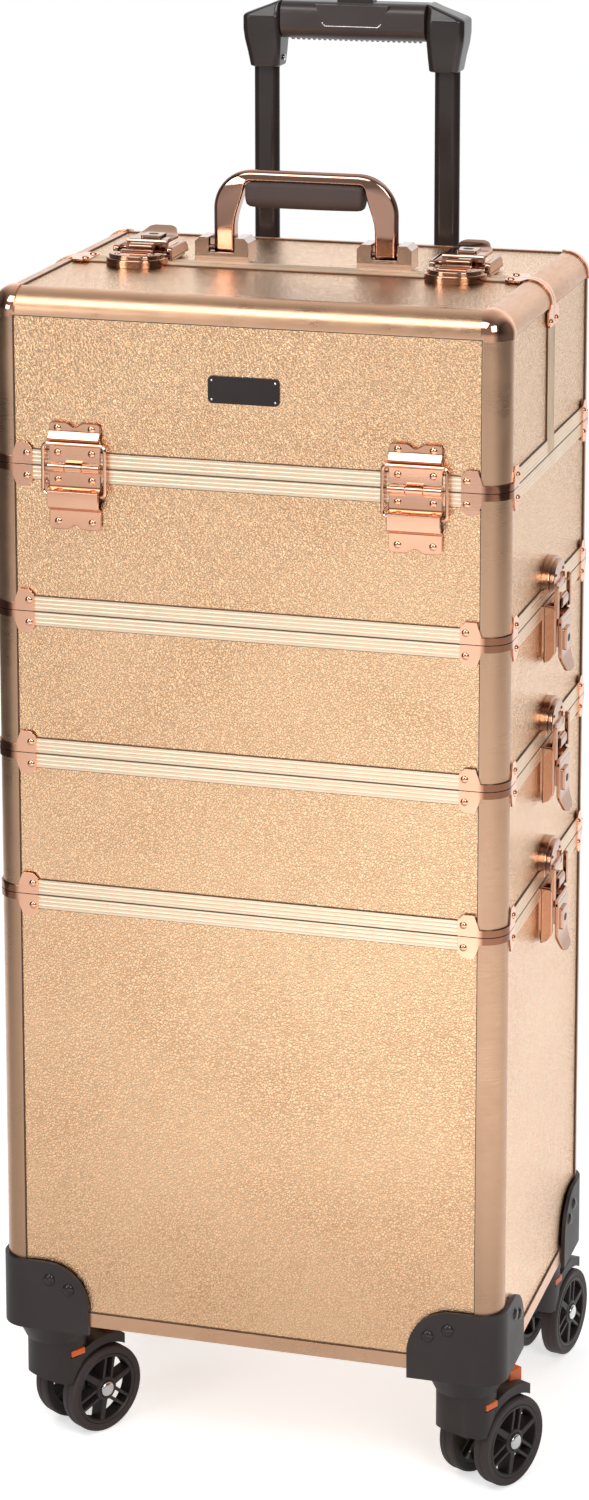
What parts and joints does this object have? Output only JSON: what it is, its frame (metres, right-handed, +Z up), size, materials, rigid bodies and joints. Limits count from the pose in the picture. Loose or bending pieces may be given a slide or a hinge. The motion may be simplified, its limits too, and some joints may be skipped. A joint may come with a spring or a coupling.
{
  "type": "rolling makeup case",
  "caption": "Upright rolling train case: base trunk on swivel casters, stacked lift-off trays, a top case with front and rear lids, draw latches, carry handle and telescopic trolley handle.",
  "frame": {"origin": "on the floor, under the middle of the case", "axes": "+X to the right seen from the front, +Y to the rear, +Z up"},
  "size_m": [0.376, 0.2895, 0.9555],
  "materials": {
    "crinkle_skin": "metallic crinkle-grain skin on board",
    "satin_frame": "satin champagne anodised",
    "rose_polish": "polished rose-gold plating",
    "moulded_black": "moulded black",
    "wheel_rubber": "moulded wheel, satin black",
    "brake_orange": "moulded orange",
    "bright_steel": "bright",
    "tube_black": "black enamel",
    "grip_black": "black, part gloss",
    "soft_black": "soft matt",
    "plate_black": "black lacquer"
  },
  "bodies": {
    "base": {"base_panels": "crinkle_skin", "base_frame": "satin_frame", "base_corner_clips": "rose_polish", "base_corner_guards": "moulded_black", "base_latch_bases": "rose_polish", "trolley_outer_tubes": "tube_black"},
    "lower_tray": {"lower_tray_panels": "crinkle_skin", "lower_tray_frame": "satin_frame", "lower_tray_corner_clips": "rose_polish", "lower_tray_latch_plates": "rose_polish"},
    "upper_tray": {"upper_tray_panels": "crinkle_skin", "upper_tray_frame": "satin_frame", "upper_tray_corner_clips": "rose_polish", "upper_tray_latch_plates": "rose_polish"},
    "top_case": {"top_case_panels": "crinkle_skin", "top_case_frame": "satin_frame", "top_case_corner_clips": "rose_polish", "top_case_fittings": "rose_polish"},
    "front_lid": {"front_lid_panels": "crinkle_skin", "front_lid_frame": "satin_frame", "front_lid_corners": "rose_polish", "front_lid_fittings": "rose_polish", "name_plate": "plate_black"},
    "rear_lid": {"rear_lid_panels": "crinkle_skin", "rear_lid_frame": "satin_frame", "rear_lid_corners": "rose_polish", "rear_lid_fittings": "rose_polish", "handle_brackets": "rose_polish"},
    "front_hinge_rings": {"front_hinge_rings": "rose_polish"},
    "rear_hinge_rings": {"rear_hinge_rings": "rose_polish"},
    "carry_handle": {"carry_handle": "rose_polish", "carry_handle_grip": "soft_black"},
    "trolley_middle": {"trolley_middle_tubes": "tube_black"},
    "trolley_inner": {"trolley_inner_tubes": "tube_black", "trolley_grip": "grip_black"},
    "trolley_button": {"trolley_button": "grip_black"},
    "top_left_latch_lever": {"top_left_latch_lever": "rose_polish"},
    "top_right_latch_lever": {"top_right_latch_lever": "rose_polish"},
    "base_left_latch_lever": {"base_left_latch_lever": "rose_polish"},
    "base_right_latch_lever": {"base_right_latch_lever": "rose_polish"},
    "lower_tray_left_latch_lever": {"lower_tray_left_latch_lever": "rose_polish"},
    "lower_tray_right_latch_lever": {"lower_tray_right_latch_lever": "rose_polish"},
    "upper_tray_left_latch_lever": {"upper_tray_left_latch_lever": "rose_polish"},
    "upper_tray_right_latch_lever": {"upper_tray_right_latch_lever": "rose_polish"},
    "front_left_caster": {"front_left_caster_housing": "moulded_black", "front_left_caster_axle": "bright_steel"},
    "front_left_wheels": {"front_left_wheels": "wheel_rubber"},
    "front_left_brake": {"front_left_brake": "brake_orange"},
    "front_right_caster": {"front_right_caster_housing": "moulded_black", "front_right_caster_axle": "bright_steel"},
    "front_right_wheels": {"front_right_wheels": "wheel_rubber"},
    "front_right_brake": {"front_right_brake": "brake_orange"},
    "rear_right_caster": {"rear_right_caster_housing": "moulded_black", "rear_right_caster_axle": "bright_steel"},
    "rear_right_wheels": {"rear_right_wheels": "wheel_rubber"},
    "rear_right_brake": {"rear_right_brake": "brake_orange"},
    "rear_left_caster": {"rear_left_caster_housing": "moulded_black", "rear_left_caster_axle": "bright_steel"},
    "rear_left_wheels": {"rear_left_wheels": "wheel_rubber"},
    "rear_left_brake": {"rear_left_brake": "brake_orange"}
  },
  "joints": [
    {"name": "lower_tray_lift", "type": "slide", "parent": "base", "child": "lower_tray", "axis": [0, 0, 1], "range_m": [0, 0.15]},
    {"name": "upper_tray_lift", "type": "slide", "parent": "lower_tray", "child": "upper_tray", "axis": [0, 0, 1], "range_m": [0, 0.15]},
    {"name": "top_case_lift", "type": "slide", "parent": "upper_tray", "child": "top_case", "axis": [0, 0, 1], "range_m": [0, 0.15]},
    {"name": "front_lid_hinge", "type": "hinge", "parent": "top_case", "child": "front_lid", "pos_m": [0, -0.1275, 0.6795], "axis": [1, 0, 0], "range_deg": [0, 95]},
    {"name": "rear_lid_hinge", "type": "hinge", "parent": "top_case", "child": "rear_lid", "pos_m": [0, 0.1275, 0.6795], "axis": [-1, 0, 0], "range_deg": [0, 7.5]},
    {"name": "front_ring_swing", "type": "hinge", "parent": "top_case", "child": "front_hinge_rings", "pos_m": [0, -0.1275, 0.6615], "axis": [1, 0, 0], "range_deg": [0, 86]},
    {"name": "rear_ring_swing", "type": "hinge", "parent": "top_case", "child": "rear_hinge_rings", "pos_m": [0, 0.1275, 0.6615], "axis": [-1, 0, 0], "range_deg": [0, 7]},
    {"name": "carry_handle_fold", "type": "hinge", "parent": "rear_lid", "child": "carry_handle", "pos_m": [0, 0.018, 0.8005], "axis": [-1, 0, 0], "range_deg": [0, 80]},
    {"name": "trolley_middle_slide", "type": "slide", "parent": "base", "child": "trolley_middle", "axis": [0, 0, 1], "range_m": [-0.235, 0]},
    {"name": "trolley_inner_slide", "type": "slide", "parent": "trolley_middle", "child": "trolley_inner", "axis": [0, 0, 1], "range_m": [-0.235, 0]},
    {"name": "trolley_button_press", "type": "slide", "parent": "trolley_inner", "child": "trolley_button", "axis": [0, 0, -1], "range_m": [0, 0.0025], "stiffness_N_per_m": 600},
    {"name": "top_left_latch", "type": "hinge", "parent": "rear_lid", "child": "top_left_latch_lever", "pos_m": [-0.108, 0.012, 0.7985], "axis": [1, 0, 0], "range_deg": [0, 95]},
    {"name": "top_right_latch", "type": "hinge", "parent": "rear_lid", "child": "top_right_latch_lever", "pos_m": [0.108, 0.012, 0.7985], "axis": [1, 0, 0], "range_deg": [0, 95]},
    {"name": "base_left_latch", "type": "hinge", "parent": "base", "child": "base_left_latch_lever", "pos_m": [-0.176, 0, 0.3795], "axis": [0, 1, 0], "range_deg": [0, 95]},
    {"name": "base_right_latch", "type": "hinge", "parent": "base", "child": "base_right_latch_lever", "pos_m": [0.176, 0, 0.3795], "axis": [0, -1, 0], "range_deg": [0, 95]},
    {"name": "lower_tray_left_latch", "type": "hinge", "parent": "lower_tray", "child": "lower_tray_left_latch_lever", "pos_m": [-0.176, 0, 0.4755], "axis": [0, 1, 0], "range_deg": [0, 95]},
    {"name": "lower_tray_right_latch", "type": "hinge", "parent": "lower_tray", "child": "lower_tray_right_latch_lever", "pos_m": [0.176, 0, 0.4755], "axis": [0, -1, 0], "range_deg": [0, 95]},
    {"name": "upper_tray_left_latch", "type": "hinge", "parent": "upper_tray", "child": "upper_tray_left_latch_lever", "pos_m": [-0.176, 0, 0.5705], "axis": [0, 1, 0], "range_deg": [0, 95]},
    {"name": "upper_tray_right_latch", "type": "hinge", "parent": "upper_tray", "child": "upper_tray_right_latch_lever", "pos_m": [0.176, 0, 0.5705], "axis": [0, -1, 0], "range_deg": [0, 95]},
    {"name": "front_left_swivel", "type": "hinge", "parent": "base", "child": "front_left_caster", "pos_m": [-0.142, -0.096, 0.073], "axis": [0, 0, 1], "continuous": true},
    {"name": "front_left_roll", "type": "hinge", "parent": "front_left_caster", "child": "front_left_wheels", "pos_m": [-0.12822, -0.07395, 0.03], "axis": [-0.848, 0.5299, 0], "continuous": true},
    {"name": "front_left_brake_tip", "type": "hinge", "parent": "front_left_caster", "child": "front_left_brake", "pos_m": [-0.14094, -0.0943, 0.064], "axis": [-0.848, 0.5299, 0], "range_deg": [0, 4], "stiffness_Nm_per_rad": 0.4},
    {"name": "front_right_swivel", "type": "hinge", "parent": "base", "child": "front_right_caster", "pos_m": [0.142, -0.096, 0.073], "axis": [0, 0, 1], "continuous": true},
    {"name": "front_right_roll", "type": "hinge", "parent": "front_right_caster", "child": "front_right_wheels", "pos_m": [0.1534, -0.07263, 0.03], "axis": [-0.8988, 0.4384, 0], "continuous": true},
    {"name": "front_right_brake_tip", "type": "hinge", "parent": "front_right_caster", "child": "front_right_brake", "pos_m": [0.14288, -0.0942, 0.064], "axis": [-0.8988, 0.4384, 0], "range_deg": [0, 4], "stiffness_Nm_per_rad": 0.4},
    {"name": "rear_right_swivel", "type": "hinge", "parent": "base", "child": "rear_right_caster", "pos_m": [0.142, 0.096, 0.073], "axis": [0, 0, 1], "continuous": true},
    {"name": "rear_right_roll", "type": "hinge", "parent": "rear_right_caster", "child": "rear_right_wheels", "pos_m": [0.14651, 0.12161, 0.03], "axis": [-0.9848, 0.1736, 0], "continuous": true},
    {"name": "rear_right_brake_tip", "type": "hinge", "parent": "rear_right_caster", "child": "rear_right_brake", "pos_m": [0.14235, 0.09797, 0.064], "axis": [-0.9848, 0.1736, 0], "range_deg": [0, 4], "stiffness_Nm_per_rad": 0.4},
    {"name": "rear_left_swivel", "type": "hinge", "parent": "base", "child": "rear_left_caster", "pos_m": [-0.142, 0.096, 0.073], "axis": [0, 0, 1], "continuous": true},
    {"name": "rear_left_roll", "type": "hinge", "parent": "rear_left_caster", "child": "rear_left_wheels", "pos_m": [-0.13101, 0.11956, 0.03], "axis": [-0.9063, 0.4226, 0], "continuous": true},
    {"name": "rear_left_brake_tip", "type": "hinge", "parent": "rear_left_caster", "child": "rear_left_brake", "pos_m": [-0.14115, 0.09781, 0.064], "axis": [-0.9063, 0.4226, 0], "range_deg": [0, 4], "stiffness_Nm_per_rad": 0.4}
  ],
  "couplings": [
    {"joint": "front_ring_swing", "follows": "front_lid_hinge", "ratio": 0.9},
    {"joint": "rear_ring_swing", "follows": "rear_lid_hinge", "ratio": 0.9}
  ]
}
